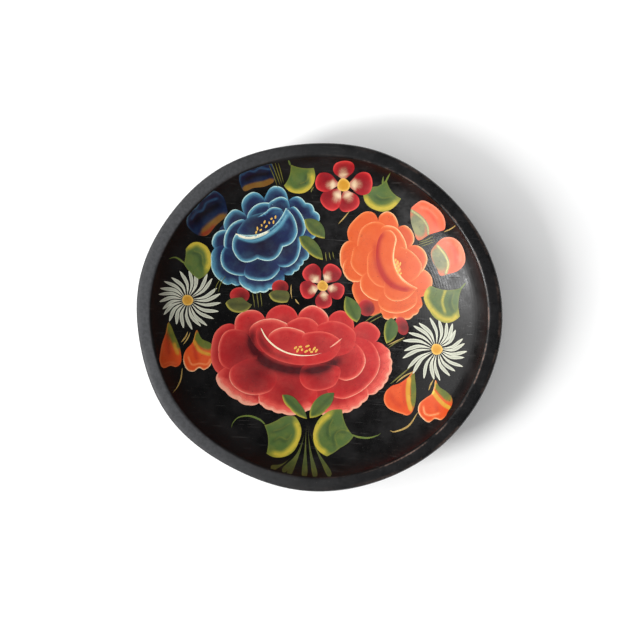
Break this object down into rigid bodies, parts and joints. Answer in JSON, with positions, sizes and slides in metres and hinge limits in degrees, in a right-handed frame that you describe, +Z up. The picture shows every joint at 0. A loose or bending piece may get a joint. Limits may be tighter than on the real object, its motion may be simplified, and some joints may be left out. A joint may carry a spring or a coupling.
{
  "type": "painted bowl",
  "caption": "Shallow round wooden bowl, lacquered black and painted inside with red, blue and orange flowers, daisies and leaves, with a ring hanger on its back.",
  "frame": {"origin": "centre of the foot, on the surface that the bowl stands on", "axes": "+Z up out of the bowl's mouth, +X along the wood's grain and the bowl's long axis, +Y towards the top of the painting and the hanger's ring"},
  "size_m": [0.33, 0.3142, 0.068],
  "materials": {
    "lacquered_wood": "gloss black lacquer, worn at the rim",
    "red_paint": "satin oil paint",
    "blue_paint": "satin oil paint",
    "orange_paint": "satin oil paint",
    "white_paint": "satin oil paint",
    "green_paint": "satin oil paint",
    "strap_steel": "dulled zinc plate",
    "ring_steel": "dulled zinc plate",
    "screw_brass": "dulled"
  },
  "bodies": {
    "bowl": {"bowl": "lacquered_wood", "red_peony": "red_paint", "blue_rose": "blue_paint", "orange_rose": "orange_paint", "red_blossom_top": "red_paint", "red_blossom_middle": "red_paint", "daisy_left": "white_paint", "daisy_right": "white_paint", "orange_buds_left": "orange_paint", "orange_buds_lower_right": "orange_paint", "orange_buds_upper_right": "orange_paint", "blue_buds": "blue_paint", "red_berries": "red_paint", "broad_leaves": "green_paint", "small_leaves": "green_paint", "stem_spray": "green_paint", "hanger_strap": "strap_steel", "hanger_screws": "screw_brass"},
    "ring": {"hanger_ring": "ring_steel"}
  },
  "joints": [
    {"name": "ring_hinge", "type": "hinge", "parent": "bowl", "child": "ring", "pos_m": [0, 0.024, 0.0046], "axis": [-1, 0, 0], "range_deg": [0, 175]}
  ]
}
